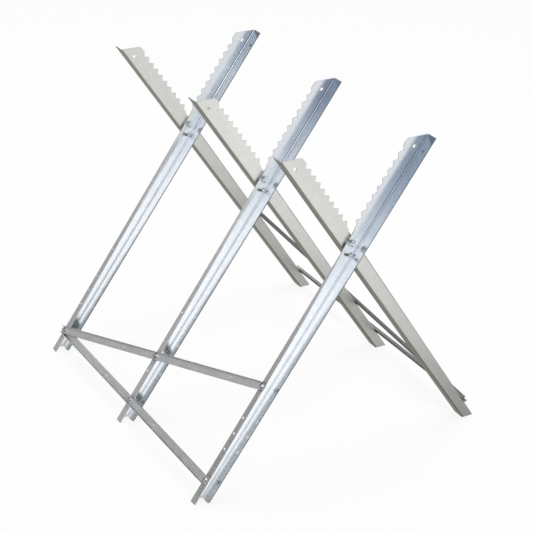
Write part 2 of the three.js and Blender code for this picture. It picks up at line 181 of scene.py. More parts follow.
STRIP_WHITE = (3.2, 3.2, 3.2)
STRIP_DARK = (0.12, 0.12, 0.13)
CARD_GREY = (0.29, 0.285, 0.315)
# Painted shadow: the floor card is darker under and beside the row.
FLOOR_CARD_SHADOW = (0.66, 0.67, 0.64)
TABLE_PALE = (1.0, 0.995, 0.98)
PLAIN_WHITE = (1.0, 1.0, 1.0, 1.0)
WORLD_SOFT = (0.96, 0.98, 1.0, 1.0)
WORLD_LEVEL = 0.62
LAMP_PLACE = (0.3, 0.5, 5.2)
LAMP_SIZE = 3.4
LAMP_POWER = 120.0
LAMP_AIM = (0.0, 0.0, 0.7 * PIVOT_HEIGHT)


def bend_at(along):
    """Outer face of the second flange, as an offset from the pivot line."""
    return FOOT_BEND + (along - FOOT_END) * FLANGE_SLOPE


# Shader arithmetic

class Value:
    """A shader socket. Python arithmetic on it adds the Math nodes that work the sum out."""

    def __init__(self, finish, socket):
        self.finish = finish
        self.socket = socket

    def math(self, operation, *others, clamp=False):
        made = self.finish.node("Math", {"operation": operation, "use_clamp": clamp},
                                {index: term for index, term in enumerate((self,) + others)})
        return made.out(0)

    def __add__(self, other):
        return self.math("ADD", other)

    __radd__ = __add__

    def __mul__(self, other):
        return self.math("MULTIPLY", other)

    def __sub__(self, other):
        return self.math("SUBTRACT", other)

    def __rsub__(self, other):
        return (self * -1.0) + other

    def abs(self):
        return self.math("ABSOLUTE")

    def over(self, edge, softness):
        """0 below the edge and 1 above it, with a ramp of the given width across it."""
        ramped = (self - (edge - softness / 2)) * (1.0 / softness)
        return ramped.math("ADD", 0.0, clamp=True)

    def under(self, edge, softness):
        """1 below the edge and 0 above it."""
        return 1.0 - self.over(edge, softness)

    def near(self, place, width, softness):
        """1 within half a width of the place and 0 away from it."""
        return (self - place).abs().under(width / 2, softness)


class Node:
    """A shader node that hands out its sockets as values."""

    def __init__(self, finish, made):
        self.finish = finish
        self.made = made

    def out(self, socket):
        return Value(self.finish, self.made.outputs[socket])


class Finish:
    """A material or world under construction, and the one method that adds nodes to it."""

    def __init__(self, owner):
        owner.use_nodes = True
        self.owner = owner
        self.tree = owner.node_tree
        self.tree.nodes.clear()

    def node(self, kind, settings=None, sockets=None):
        """Adds a node, sets it and links or fills its sockets."""
        made = self.tree.nodes.new("ShaderNode" + kind)
        for name, setting in (settings or {}).items():
            setattr(made, name, setting)
        for name, value in (sockets or {}).items():
            if isinstance(value, Value):
                self.tree.links.new(value.socket, made.inputs[name])
            else:
                made.inputs[name].default_value = value
        return Node(self, made)

    def coordinates(self):
        """Object coordinates and the object's own normal, each split in three."""
        source = self.node("TexCoord")
        place = self.node("SeparateXYZ", sockets={0: source.out("Object")})
        facing = self.node("SeparateXYZ", sockets={0: source.out("Normal")})
        return [place.out(i) for i in range(3)], [facing.out(i) for i in range(3)]

    def vector(self, x, y, z):
        return self.node("CombineXYZ", sockets={0: x, 1: y, 2: z}).out(0)

    def noise(self, vector, scale, detail=2.0, rough=0.5):
        """Soft noise from 0 to 1 around 0.5."""
        made = self.node("TexNoise", {"noise_dimensions": "3D"},
                         {"Vector": vector, "Scale": scale, "Detail": detail, "Roughness": rough})
        return made.out(0)

    def cells(self, vector, scale):
        """One random grey for each crystal-like cell."""
        made = self.node("TexVoronoi", {"feature": "F1"}, {"Vector": vector, "Scale": scale})
        return self.node("SeparateColor", sockets={0: made.out("Color")}).out(0)

    def mix(self, share, first, second, blend="MIX"):
        """Colour that goes from the first to the second as the share goes from 0 to 1."""
        made = self.node("Mix", {"data_type": "RGBA", "blend_type": blend},
                         {0: share, 6: rgba(first), 7: rgba(second)})
        return made.out(2)

    def varied(self, base, noises, swings):
        """The base moved up and down around itself by each noise times its swing."""
        for noise, swing in zip(noises, swings):
            base = base + (noise - 0.5) * swing
        return base

    def shaded(self, tone, shade):
        """The tone made lighter or darker by a plain factor."""
        grey = self.node("CombineColor", sockets={0: shade, 1: shade, 2: shade}).out(0)
        return self.mix(1.0, tone, grey, "MULTIPLY")

    def seen_directly(self):
        """1 for what the camera, a reflection or clear glass shows, and 0 for what only lights the set."""
        path = self.node("LightPath")
        return path.out("Is Camera Ray").math("MAXIMUM", path.out("Is Glossy Ray")).math(
            "MAXIMUM", path.out("Is Transmission Ray"))

    def bump(self, height, strength, distance):
        made = self.node("Bump", sockets={"Strength": strength, "Distance": distance, "Height": height})
        return made.out(0)

    def surface(self, **sockets):
        """Ends the material in one principled shader."""
        named = {name.replace("_", " ").title(): value for name, value in sockets.items()}
        shader = self.node("BsdfPrincipled", sockets=named)
        self.node("OutputMaterial", sockets={0: shader.out(0)})
        return self.owner


def rgba(colour):
    """A colour with its alpha, or the socket that gives one."""
    return colour if isinstance(colour, Value) else tuple(colour) + (1.0,)


# Finishes. A pair is a ramp: the middle of the change, and how wide it is. A noise is its scale, detail and roughness

# Painted reflection: the cool inner tone and the brighter tone of the first flange's inner face stand in for
# reflections.
INNER_ZINC_PAINTED_REFLECTION = (0.79, 0.83, 0.875)
FLANGE_ZINC_PAINTED_REFLECTION = (0.88, 0.90, 0.92)
# Painted shadow: the dark line on the web beside the fold.
CREASE_SHADOW = (0.10, 0.12, 0.15)
# Painted reflection and shade: the blue painted into the jaws.
JAW_PAINTED_BLUE = (0.465, 0.52, 0.60)
# Painted shade: the back tone is a lighter or darker copy for each frame.
BACK_ZINC_SHADED_BY_FRAME = {"back": (0.89, 0.888, 0.862), "middle": (0.95, 0.948, 0.92), "front": (0.81, 0.808, 0.785)}
# Painted shade: the darker, olive outer face of the outer flange.
OUTER_FLANGE_PAINTED_SHADE = (0.36, 0.365, 0.33)
DULL_ZINC = (0.95, 0.95, 0.93)
PLATED_ZINC = (0.76, 0.79, 0.82)
# Painted shade: dark brace lips, those of the foot brace lighter towards the back of the row.
FOOT_LIP_SHADE = (0.42, 0.42, 0.41)
FOOT_LIP_BACK_SHADE = (0.74, 0.74, 0.71)
DIAGONAL_LIP_SHADE = (0.13, 0.13, 0.13)
# Painted shade: the inside of the brace channel.
INSIDE_SHADE = (0.26, 0.265, 0.26)
CUT_EDGE = (0.40, 0.41, 0.42)
LEG_GLANCE = (0.55, 0.56, 0.54)
BRACE_GLANCE = (0.30, 0.30, 0.30)
NECK_SHADE = (0.05, 0.05, 0.055)
WORN_GREY = (0.47, 0.49, 0.52)
GRIME = (0.33, 0.31, 0.27)
RUST = (0.34, 0.31, 0.27)
BLACK = (0.0, 0.0, 0.0)
NYLON_TONES = ((0.60, 0.62, 0.60), (0.76, 0.77, 0.74))

# Which way a face looks: its share of the web's normal, or of the flanges' normal
FACES_BACK = (-0.5, 0.4)
FACES_FRONT = (0.5, 0.6)
FACES_DOWN_LEG = (-0.5, 0.6)
WEB_FRONT = (0.7, 0.3)
WEB_EITHER = (0.7, 0.2)
CUT_FACE = (0.35, 0.2)
OUTER_FLANGE_ZONE = (3.5 * MM - FOLD_TO_PIVOT, 0.5 * MM)

# Painted blue reflection and shade in the jaws: where it lies, its share low and high on each leg, and how much of it
# the web takes
BLUE_FROM = (30.0 * MM, 40.0 * MM)
BLUE_ACROSS = (0.0, 18.0 * MM)
BLUE_RISE = (150.0 * MM, 180.0 * MM)
JAW_PAINTED_BLUE_SHARES = {"back": (-0.5, 0.3, 1.0), "middle": (-0.3, 0.95, 0.4), "front": (0.29, 1.3, 0.0)}

# Leg: painted shades, lines (the crease line a painted shadow) and wear
FOOT_SHADE, FOOT_SHADE_SHARE = (0.30, 0.60), 0.33
FRONT_FOOT_SHADE, FRONT_FOOT_SHADE_SHARE = (0.18, 0.20), 0.14
CREASE_PLACE = (SHEET - FOLD_TO_PIVOT + 2.4 * MM, 2.0 * MM, 0.8 * MM)
CREASE_RISE = (0.0, 60.0 * MM)
CREASE_LOW, CREASE_GAIN = 0.45, 0.4
EDGE_SKIN, EDGE_RAMP = 0.15 * MM, 0.1 * MM
CUT_SHARE = 0.75
FREE_EDGE, FREE_EDGE_SHARE = (OUTER_FLANGE - 0.5 * MM, 0.4 * MM), 0.85
NECK_ALONG = (0.0, 60.0 * MM, 10.0 * MM)
NECK_ACROSS = (5.0 * MM, 3.0 * MM)
RUBBED_RING = (9.2 * MM, 3.4 * MM, 1.6 * MM)
SWEPT_RING = (SLOT_RADIUS, 12.0 * MM, 3.0 * MM)
SWEPT_ACROSS = (2.0 * MM, 8.0 * MM)
SWEPT_ALONG = (4.0 * MM, 8.0 * MM)
RUBBED_SHARE, SWEPT_SHARE = 0.6, 0.35
DIRT_TOP, DIRT_SHARE = (26.0 * MM, 48.0 * MM), 0.12
JAW_FROM = (30.0 * MM, 60.0 * MM)
JAW_ACROSS = (8.0 * MM - FOLD_TO_PIVOT, 6.0 * MM)

# Leg: noises, where each leg starts in them, and the swings by which they change the tone and the roughness
LEG_SEEDS, LEG_SEED_STEP = {"near": 3.1, "far": 8.7}, 7.3
STRETCH, STRETCH_ACROSS, STRETCH_SOFT = 0.06, 0.12, 0.35
MOTTLE = (26.0, 3.0, 0.6)
CLOUDS = (60.0, 2.0)
ROLLING = (900.0, 2.0)
RIPPLE = (700.0, 1.0)
SPANGLE = 95.0
SCUFFS, SCUFFS_FROM = (420.0, 3.0, 0.7), (0.42, 0.3)
SPECKLE, SPECKLE_FROM = (150.0, 4.0, 0.7), (0.5, 0.5)
SCRATCHES, SCRATCHES_FROM = (240.0, 1.0), (0.70, 0.05)
SCRATCH_SLANT, SCRATCH_FINENESS = 0.3, 3.0
WAVE = (30.0, 1.0)
LEG_TONE, LEG_TONE_SWINGS = 0.96, (0.10, 0.10, 0.04, 0.08, 0.10)
LEG_ROUGH, LEG_ROUGH_SWINGS = 0.17, (0.08, 0.06)
JAW_ROUGH, BACK_ROUGH, OUTER_ROUGH = 0.04, 0.20, 0.16
CUT_ROUGH, WORN_ROUGH, DIRT_ROUGH, SCRATCH_SHINE = 0.15, 0.12, 0.06, 0.04
LEG_METAL, DIRT_METAL = 0.94, 0.1
WAVE_HEIGHT, RIPPLE_HEIGHT, ROLLING_HEIGHT = 0.9, 0.004, 0.006
LEG_BUMP = (0.12, 0.6 * MM)

# Braces
BRACE_SEEDS = {"near": 2.3, "far": 5.9}
DIAGONAL_RISE = 0.31
BRACE_STRETCH, BRACE_STRETCH_SOFT = 0.05, 0.3
BRACE_MOTTLE = (30.0, 3.0, 0.6)
STREAKS = (420.0, 2.0)
BRACE_CLOUD = (30.0, 2.0)
BRACE_SPANGLE = 110.0
BRACE_TONE, BRACE_TONE_SWINGS = 0.95, (0.16, 0.16, 0.12, 0.05)
BRACE_ROUGH, BRACE_ROUGH_SWINGS = 0.40, (0.14, 0.10)
LIP_BACK_FROM = (0.05, 0.3)
FACES_OUT = (0.75, 0.4)
FACES_INSIDE = (-0.4, 0.4)
BRACE_END = (FRAME_SPACING - 1.0 * MM, 6.0 * MM)
RUST_SPOTS, RUST_FROM = (210.0, 4.0, 0.7), (0.55, 0.2)
RUST_SHARE, RUST_ROUGH, RUST_METAL = 0.35, 0.2, 0.4
BRACE_METAL, OUT_METAL = 0.94, 0.15
STREAK_HEIGHT, CLOUD_HEIGHT, SPANGLE_HEIGHT = 0.15, 0.5, 0.03
BRACE_BUMP = (0.3, 0.4 * MM)

# Fasteners
PATCHES = (160.0, 3.0, 0.6)
FINE = (1400.0, 2.0, 0.6)
PLATED_TONE, PLATED_TONE_SWINGS = 0.92, (0.22, 0.10)
PLATED_ROUGH, PLATED_ROUGH_SWINGS = 0.24, (0.16, 0.08)
PLATED_METAL = 0.96
PLATED_BUMP = (0.25, 0.08 * MM)
NYLON_SPECK = (900.0, 3.0, 0.6)
NYLON_ROUGH, NYLON_ROUGH_SWINGS = 0.42, (0.1,)


def row_place_of(frame_name):
    """Place of a pair of legs along the row."""
    return (1 - FRAMES.index(frame_name)) * FRAME_SPACING


def leg_finish(side, frame_name):
    """Galvanised sheet in the leg's own axes: cool and bright on the flange side and duller on the back, tones that
    are partly painted reflection and painted shade.
    """
    finish = Finish(bpy.data.materials.new(f"zinc_leg_{side}_{frame_name}"))
    (x, y, z), (nx, ny, nz) = finish.coordinates()
    turn = 1.0 if side == "near" else -1.0
    row_place = row_place_of(frame_name)
    height = z - PIVOT_HEIGHT
    cos, sin = math.cos(LEG_ANGLE), math.sin(LEG_ANGLE)
    along = x * (turn * cos) + height * sin
    across = x * (-turn * sin) + height * cos
    depth = (y - row_place) * -turn - WEB_GAP / 2
    face_web = ny * -turn
    face_across = nx * (-turn * sin) + nz * cos

    on_web_back = face_web.under(*FACES_BACK)
    on_outer_flange = across.under(*OUTER_FLANGE_ZONE)
    faces_in = face_web.over(*FACES_FRONT).math(
        "MAXIMUM", on_outer_flange * face_across.over(*FACES_FRONT)).math(
        "MAXIMUM", (1.0 - on_outer_flange) * face_across.under(*FACES_DOWN_LEG))

    seed = row_place * LEG_SEED_STEP + LEG_SEEDS[side]
    placed = along + seed
    plain = finish.vector(placed, across, depth)
    drawn = finish.vector(placed * STRETCH, across, depth)
    crossed = finish.vector(placed, across * STRETCH_ACROSS, depth * STRETCH_ACROSS)
    mottle = finish.noise(plain, *MOTTLE)
    clouds = finish.noise(drawn, *CLOUDS)
    rolling = finish.noise(drawn, *ROLLING)
    ripple = finish.noise(crossed, *RIPPLE)
    spangle = finish.cells(plain, SPANGLE)

    # Painted shade: a copy of the back tone for each frame, darker on the outer flange and towards the feet.
    back = finish.mix(on_outer_flange, BACK_ZINC_SHADED_BY_FRAME[frame_name], OUTER_FLANGE_PAINTED_SHADE)
    shaded = z.under(*FOOT_SHADE) * on_web_back * FOOT_SHADE_SHARE
    if frame_name == "front":
        shaded = shaded + z.under(*FRONT_FOOT_SHADE) * on_web_back * FRONT_FOOT_SHADE_SHARE
    back = finish.mix(shaded, back, BLACK)
    # Painted reflection: inner faces tinted cool, the first flange's inner face brighter.
    inner = finish.mix(face_across.over(*FACES_FRONT), INNER_ZINC_PAINTED_REFLECTION, FLANGE_ZINC_PAINTED_REFLECTION)
    # Painted reflection and shade: blue painted into the upper jaws, more on some frames than on others.
    low_share, high_share, web_share = JAW_PAINTED_BLUE_SHARES[frame_name]
    painted_blue = faces_in * along.over(*BLUE_FROM) * across.under(*BLUE_ACROSS)
    painted_blue = painted_blue * (1.0 - face_web.over(*WEB_FRONT) * (1.0 - web_share))
    painted_blue_share = low_share + along.over(*BLUE_RISE) * (high_share - low_share)
    inner = finish.mix(painted_blue * painted_blue_share, inner, JAW_PAINTED_BLUE)
    tone = finish.mix(faces_in, back, inner)
    # Painted shadow: a dark line on the web beside the fold, stronger further up the leg.
    crease_shadow = across.near(*CREASE_PLACE) * face_web.over(*WEB_FRONT)
    tone = finish.mix(crease_shadow * (CREASE_LOW + along.over(*CREASE_RISE) * CREASE_GAIN), tone, CREASE_SHADOW)
    tone = finish.shaded(tone, finish.varied(LEG_TONE, (mottle, clouds, spangle, rolling, ripple),
                                             LEG_TONE_SWINGS))

    in_sheet = depth.over(EDGE_SKIN, EDGE_RAMP) * depth.under(SHEET - EDGE_SKIN, EDGE_RAMP)
    sheared = in_sheet * face_web.abs().under(*CUT_FACE) * across.over(*OUTER_FLANGE_ZONE)
    tone = finish.mix(sheared * CUT_SHARE, tone, CUT_EDGE)
    free_edge = on_outer_flange * depth.over(*FREE_EDGE)
    tone = finish.mix(free_edge * FREE_EDGE_SHARE, tone, NECK_SHADE)
    tone = finish.mix(sheared * along.near(*NECK_ALONG) * across.over(*NECK_ACROSS), tone, NECK_SHADE)

    centre_distance = (along * along + across * across).math("SQRT")
    on_web = face_web.abs().over(*WEB_EITHER)
    rubbed = centre_distance.near(*RUBBED_RING) * on_web
    swept = centre_distance.near(*SWEPT_RING) * on_web * across.under(*SWEPT_ACROSS) * along.under(*SWEPT_ALONG)
    scuffs = finish.noise(plain, *SCUFFS)
    worn = (rubbed * RUBBED_SHARE + swept * SWEPT_SHARE) * scuffs.over(*SCUFFS_FROM)
    tone = finish.mix(worn, tone, WORN_GREY)

    speckle = finish.noise(plain, *SPECKLE)
    dirt = z.under(*DIRT_TOP) * speckle.over(*SPECKLE_FROM)
    tone = finish.mix(dirt * DIRT_SHARE, tone, GRIME)

    slanted = finish.vector(placed * STRETCH_SOFT + across * SCRATCH_SLANT, across * SCRATCH_FINENESS,
                            depth * SCRATCH_FINENESS)
    scratches = finish.noise(slanted, *SCRATCHES).over(*SCRATCHES_FROM)
    jaw = along.over(*JAW_FROM) * face_web.over(*WEB_FRONT) * across.over(*JAW_ACROSS)
    roughness = LEG_ROUGH + jaw * JAW_ROUGH + (1.0 - faces_in) * (on_outer_flange * OUTER_ROUGH + BACK_ROUGH)
    roughness = finish.varied(roughness, (mottle, clouds), LEG_ROUGH_SWINGS) \
        + sheared * CUT_ROUGH + worn * WORN_ROUGH + dirt * DIRT_ROUGH - scratches * SCRATCH_SHINE
    wave = finish.noise(finish.vector(placed * STRETCH_SOFT, across, depth), *WAVE)
    normal = finish.bump(wave * WAVE_HEIGHT + ripple * RIPPLE_HEIGHT + rolling * ROLLING_HEIGHT, *LEG_BUMP)
    return finish.surface(base_color=tone, metallic=LEG_METAL - dirt * DIRT_METAL, roughness=roughness,
                          normal=normal, specular_tint=rgba(LEG_GLANCE))


def brace_finish(side, piece):
    """Duller galvanised strip, drawn along its length, with painted shade on its lips and inside, rusty at the ends.
    """
    finish = Finish(bpy.data.materials.new(f"zinc_{piece}_brace_{side}"))
    (x, y, z), (nx, ny, nz) = finish.coordinates()
    turn = 1.0 if side == "near" else -1.0
    strip = z + y * (turn * (0.0 if piece == "foot" else DIAGONAL_RISE))
    seed = BRACE_SEEDS[side]
    plain = finish.vector(x + seed, y, z)
    drawn = finish.vector(x + seed, y * BRACE_STRETCH, strip)
    mottle = finish.noise(plain, *BRACE_MOTTLE)
    streaks = finish.noise(drawn, *STREAKS)
    cloud = finish.noise(finish.vector(x, y * BRACE_STRETCH_SOFT, strip), *BRACE_CLOUD)
    spangle = finish.cells(plain, BRACE_SPANGLE)
    tone = finish.shaded(DULL_ZINC, finish.varied(BRACE_TONE, (mottle, streaks, cloud, spangle),
                                                  BRACE_TONE_SWINGS))
    lean = LEG_ANGLE + FLANGE_TILT
    face_out = nx * (-turn * math.sin(lean)) + nz * math.cos(lean)
    # Painted shade: the lips darkened, the foot brace's less so towards the back of the row.
    lip_shade = finish.mix(y.over(*LIP_BACK_FROM), FOOT_LIP_SHADE, FOOT_LIP_BACK_SHADE) if piece == "foot" else DIAGONAL_LIP_SHADE
    tone = finish.mix(face_out.under(*FACES_OUT), tone, lip_shade)
    # Painted shade inside the channel.
    tone = finish.mix(face_out.under(*FACES_INSIDE), tone, INSIDE_SHADE)
    rust = finish.noise(plain, *RUST_SPOTS).over(*RUST_FROM) * y.abs().over(*BRACE_END)
    tone = finish.mix(rust * RUST_SHARE, tone, RUST)
    roughness = finish.varied(BRACE_ROUGH, (mottle, streaks), BRACE_ROUGH_SWINGS) + rust * RUST_ROUGH
    normal = finish.bump(streaks * STREAK_HEIGHT + cloud * CLOUD_HEIGHT + spangle * SPANGLE_HEIGHT, *BRACE_BUMP)
    metallic = BRACE_METAL - rust * RUST_METAL - face_out.over(*FACES_OUT) * OUT_METAL
    return finish.surface(base_color=tone, metallic=metallic, roughness=roughness, normal=normal,
                          specular_tint=rgba(BRACE_GLANCE))


def fastener_finish():
    """Bright zinc plating with fine grain and duller patches."""
    finish = Finish(bpy.data.materials.new("zinc_plated_fastener"))
    place, _facing = finish.coordinates()
    plain = finish.vector(*place)
    patches = finish.noise(plain, *PATCHES)
    fine = finish.noise(plain, *FINE)
    tone = finish.shaded(PLATED_ZINC, finish.varied(PLATED_TONE, (patches, fine), PLATED_TONE_SWINGS))
    roughness = finish.varied(PLATED_ROUGH, (patches, fine), PLATED_ROUGH_SWINGS)
    return finish.surface(base_color=tone, metallic=PLATED_METAL, roughness=roughness,
                          normal=finish.bump(fine, *PLATED_BUMP))


def insert_finish():
    """Waxy off-white ring that grips the thread of a lock nut."""
    finish = Finish(bpy.data.materials.new("nylon_ring"))
    place, _facing = finish.coordinates()
    speck = finish.noise(finish.vector(*place), *NYLON_SPECK)
    tone = finish.mix(speck, *NYLON_TONES)
    return finish.surface(base_color=tone, metallic=0.0,
                          roughness=finish.varied(NYLON_ROUGH, (speck,), NYLON_ROUGH_SWINGS))


# Surfaces worked out on a grid

def place_mesh(name, grids, matrix, material, body, replaced=()):
    """One mesh object from closed grids of points: rows run along each profile, columns round it.

    Each grid wraps round in its columns. Its first and last rows are either points on the axis,
    which close it as poles, or the same ring, which closes it as a torus.
    """
    corners, quads, start = [], [], 0
    for grid in grids:
        rows, columns, _three = grid.shape
        index = start + np.arange(rows * columns).reshape(rows, columns)
        below, above = index[:-1], index[1:]
        quads.append(np.stack([below, np.roll(below, -1, 1), np.roll(above, -1, 1), above], -1).reshape(-1, 4))
        corners.append(grid.reshape(-1, 3))
        start += rows * columns
    points = np.concatenate(corners)
    faces = np.concatenate(quads)
    placed = points @ np.array(matrix.to_3x3()).T + np.array(matrix.translation)
    mesh = bpy.data.meshes.new(name)
    mesh.from_pydata(placed.tolist(), [], faces.tolist())
    mesh.validate()
    piece = bpy.data.objects.new(name, mesh)
    bpy.context.scene.collection.objects.link(piece)
    close_seams(mesh)
    mesh.materials.append(material)
    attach(piece, body)
    if replaced:
        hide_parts(*replaced)
    return piece


def close_seams(mesh):
    """Joins doubled points, turns the faces outwards and shades them smooth up to a sharp edge."""
    work = bmesh.new()
    work.from_mesh(mesh)
    bmesh.ops.remove_doubles(work, verts=work.verts, dist=1e-6)
    bmesh.ops.dissolve_degenerate(work, dist=1e-7, edges=work.edges)
    bmesh.ops.recalc_face_normals(work, faces=work.faces)
    for edge in work.edges:
        edge.smooth = edge.calc_face_angle(0.0) < SHARP_FROM
    for face in work.faces:
        face.smooth = True
    work.to_mesh(mesh)
    work.free()


def ring_angles(columns):
    """Even angles for one turn."""
    return np.linspace(0, 2 * np.pi, columns, endpoint=False)


def revolved(profile, columns):
    """A profile of radius and height carried once round the third axis."""
    profile = np.asarray(profile, float)
    angle = ring_angles(columns)
    radius, height = profile[:, :1], profile[:, 1:]
    return np.stack([radius * np.cos(angle), radius * np.sin(angle), height + 0 * angle], -1)


def rounded(profile, radius, steps=3):
    """The same profile with each inner corner replaced by an arc-like run of points."""
    profile = [np.asarray(point, float) for point in profile]
    points = [profile[0]]
    for before, corner, after in zip(profile, profile[1:], profile[2:]):
        to_before, to_after = before - corner, after - corner
        reach_before, reach_after = np.linalg.norm(to_before), np.linalg.norm(to_after)
        reach = min(radius, reach_before * CORNER_SHARE, reach_after * CORNER_SHARE)
        start = corner + to_before / reach_before * reach
        end = corner + to_after / reach_after * reach
        for share in np.linspace(0, 1, steps + 1):
            points.append((1 - share) ** 2 * start + 2 * share * (1 - share) * corner + share ** 2 * end)
    points.append(profile[-1])
    return points


def hexagonal(profile, flats, columns=FINE_COLUMNS):
    """A profile carried round a hexagon: no point lies beyond the six flats."""
    profile = np.asarray(profile, float)
    angle = ring_angles(columns)
    from_flat = np.mod(angle + np.pi / 6, np.pi / 3) - np.pi / 6
    limit = flats / 2 / np.cos(from_flat)
    radius = np.minimum(profile[:, :1], limit[None, :])
    height = profile[:, 1:] + 0 * angle
    return np.stack([radius * np.cos(angle), radius * np.sin(angle), height], -1)


def threaded(low, high, diameter, pitch, columns=ROUND_COLUMNS, rows_per_turn=8):
    """A screw surface: the radius follows a rounded saw wave of height less angle, fading at both ends."""
    rows = int((high - low) / pitch * rows_per_turn) + 2
    height = np.linspace(low, high, rows)[:, None]
    angle = ring_angles(columns)[None, :]
    phase = height / pitch - angle / (2 * np.pi)
    wave = 0.5 + 0.5 * np.cos(2 * np.pi * phase)
    fade = np.clip(np.minimum(height - low, high - height) / (THREAD_FADE * pitch), 0, 1)
    radius = diameter / 2 - THREAD_CREST * pitch - THREAD_DEPTH * pitch * (1 - wave) * fade \
        - (1 - fade) * THREAD_ENTRY * pitch
    grid = np.stack([radius * np.cos(angle), radius * np.sin(angle), height + 0 * angle], -1)
    cap_low = np.zeros((1, columns, 3)) + [0, 0, low]
    cap_high = np.zeros((1, columns, 3)) + [0, 0, high]
    return np.concatenate([cap_low, grid, cap_high])


# Fasteners

def hexagon_block(flats, low, high, chamfer, bore=None):
    """A nut or head: the profile runs from the bore or axis over both chamfered faces and back."""
    corner = flats / math.sqrt(3) + HEX_OVERRUN
    flat = flats / 2 - HEX_INSET
    inner = bore / 2 if bore else 0.0
    outline = [(inner, low), (flat, low), (corner, low + chamfer), (corner, high - chamfer), (flat, high),
               (inner, high)]
    if bore:
        eased = inner + BORE_EASE
        outline = [(eased, low), *outline[1:-1], (eased, high), (inner, high - BORE_EASE),
                   (inner, low + BORE_EASE), (eased, low)]
    return hexagonal(outline, flats)


def pivot_matrix(frame_name):
    """Places a piece made about the third axis on a pivot, pointing to the front of the row."""
    return Matrix.Translation((0, row_place_of(frame_name), PIVOT_HEIGHT)) @ Matrix.Rotation(math.pi / 2, 4, "X")


def pivot_fasteners(frame_name, metal, nylon):
    """A bolt through both webs of a pair, with a lock nut behind and the nut's ring."""
    matrix = pivot_matrix(frame_name)
    tail = WEB_FACE + PIVOT_NUT + PIVOT_TAIL
    head_low = -WEB_FACE - PIVOT_HEAD
    washer_low, washer_edge = -WEB_FACE - WASHER_STEP, PIVOT_FLATS / 2 - WASHER_INSET
    washer_face = revolved([(0, washer_low), (washer_edge, washer_low), (washer_edge, -WEB_FACE),
                            (0, -WEB_FACE)], ROUND_COLUMNS)
    shank = revolved([(0, -WEB_FACE - OVERLAP), (PIVOT_BOLT / 2, -WEB_FACE - OVERLAP),
                      (PIVOT_BOLT / 2, WEB_FACE), (0, WEB_FACE)], SHANK_COLUMNS)
    thread = threaded(WEB_FACE - THREAD_OVERLAP, tail, PIVOT_BOLT, PIVOT_PITCH)
    head = hexagon_block(PIVOT_FLATS, head_low, washer_low + HEAD_SINK, PIVOT_HEAD_CHAMFER)
    place_mesh(f"bolt_pivot_{frame_name}", [head, washer_face, shank, thread], matrix, metal, "near_side",
               replaced=[f"pivot_bolt_{frame_name}"])

    top = WEB_FACE + PIVOT_NUT
    hex_top = top - PIVOT_COLLAR
    block = hexagon_block(PIVOT_FLATS, WEB_FACE, hex_top, PIVOT_NUT_CHAMFER, PIVOT_BOLT + 2 * SEAT_GAP)
    outer, inner = PIVOT_FLATS / 2 - COLLAR_INSET, PIVOT_BOLT / 2 + COLLAR_OPENING
    wall, foot = outer - COLLAR_WALL, hex_top - COLLAR_INSET
    collar = revolved(rounded([(wall, foot), (outer, foot), (outer, top - COLLAR_WALL), (wall, top), (inner, top),
                               (inner, top - COLLAR_LIP), (wall, top - COLLAR_WALL), (wall, foot)], ROUNDING),
                      ROUND_COLUMNS)
    place_mesh(f"nut_pivot_{frame_name}", [block, collar], matrix, metal, "near_side",
               replaced=[f"pivot_nut_{frame_name}"])
    grip, ring_edge = PIVOT_BOLT / 2 + RING_GRIP, outer - RING_INSET
    insert = revolved([(grip, hex_top), (ring_edge, hex_top), (ring_edge, top - COLLAR_INSET),
                       (grip + RING_EASE, top - COLLAR_LIP), (grip, top - RING_INSET), (grip, hex_top)],
                      ROUND_COLUMNS)
    place_mesh(f"nut_ring_{frame_name}", [insert], matrix, nylon, "near_side")


def stop_pin(frame_name, metal):
    """A rivet: a smooth factory head in front and a slightly flattened closed head behind."""
    matrix = pivot_matrix(frame_name) @ Matrix.Translation((0, -SLOT_RADIUS, 0))
    head, shank = STOP_HEAD / 2, STOP_PIN / 2
    bend = np.linspace(0, math.pi / 2, 10)
    straight, domed, square = STOP_FRONT
    front = [(head * math.cos(turn) ** square, WEB_FACE + STOP_HEAD_HEIGHT * (straight + domed * math.sin(turn)))
             for turn in bend]
    front[-1] = (0.0, front[-1][1])
    straight, domed, square = STOP_BACK
    back = [(head * STOP_BACK_SHARE * math.cos(turn) ** square,
             -WEB_FACE - STOP_HEAD_HEIGHT * (straight + domed * math.sin(turn))) for turn in bend[::-1]]
    back[0] = (0.0, back[0][1])
    profile = back + [(head * STOP_BACK_SEAT, -WEB_FACE), (shank, -WEB_FACE), (shank, WEB_FACE),
                      (head * STOP_FRONT_SEAT, WEB_FACE)] + front
    place_mesh(f"rivet_stop_{frame_name}", [revolved(profile, ROUND_COLUMNS)], matrix, metal,
               f"stop_pin_{frame_name}", replaced=[f"stop_pin_{frame_name}"])


def brace_plane(side):
    """Places a piece on the plane of the second flanges: x along the row, y up the legs, z outwards."""
    lean = LEG_ANGLE + FLANGE_TILT
    offset = bend_at(LOWEST_HOLE)
    cos, sin = math.cos(LEG_ANGLE), math.sin(LEG_ANGLE)
    columns = ((0, -1, 0), (math.cos(lean), 0, math.sin(lean)), (-math.sin(lean), 0, math.cos(lean)))
    axes = Matrix([[column[i] for column in columns] for i in range(3)]).to_4x4()
    start = (LOWEST_HOLE * cos - offset * sin, FRAME_SPACING - WEB_GAP / 2 - HOLE_FROM_BACK,
             PIVOT_HEIGHT + LOWEST_HOLE * sin + offset * cos)
    plane = Matrix.Translation(start) @ axes
    return plane if side == "near" else Matrix.Rotation(math.pi, 4, "Z") @ plane


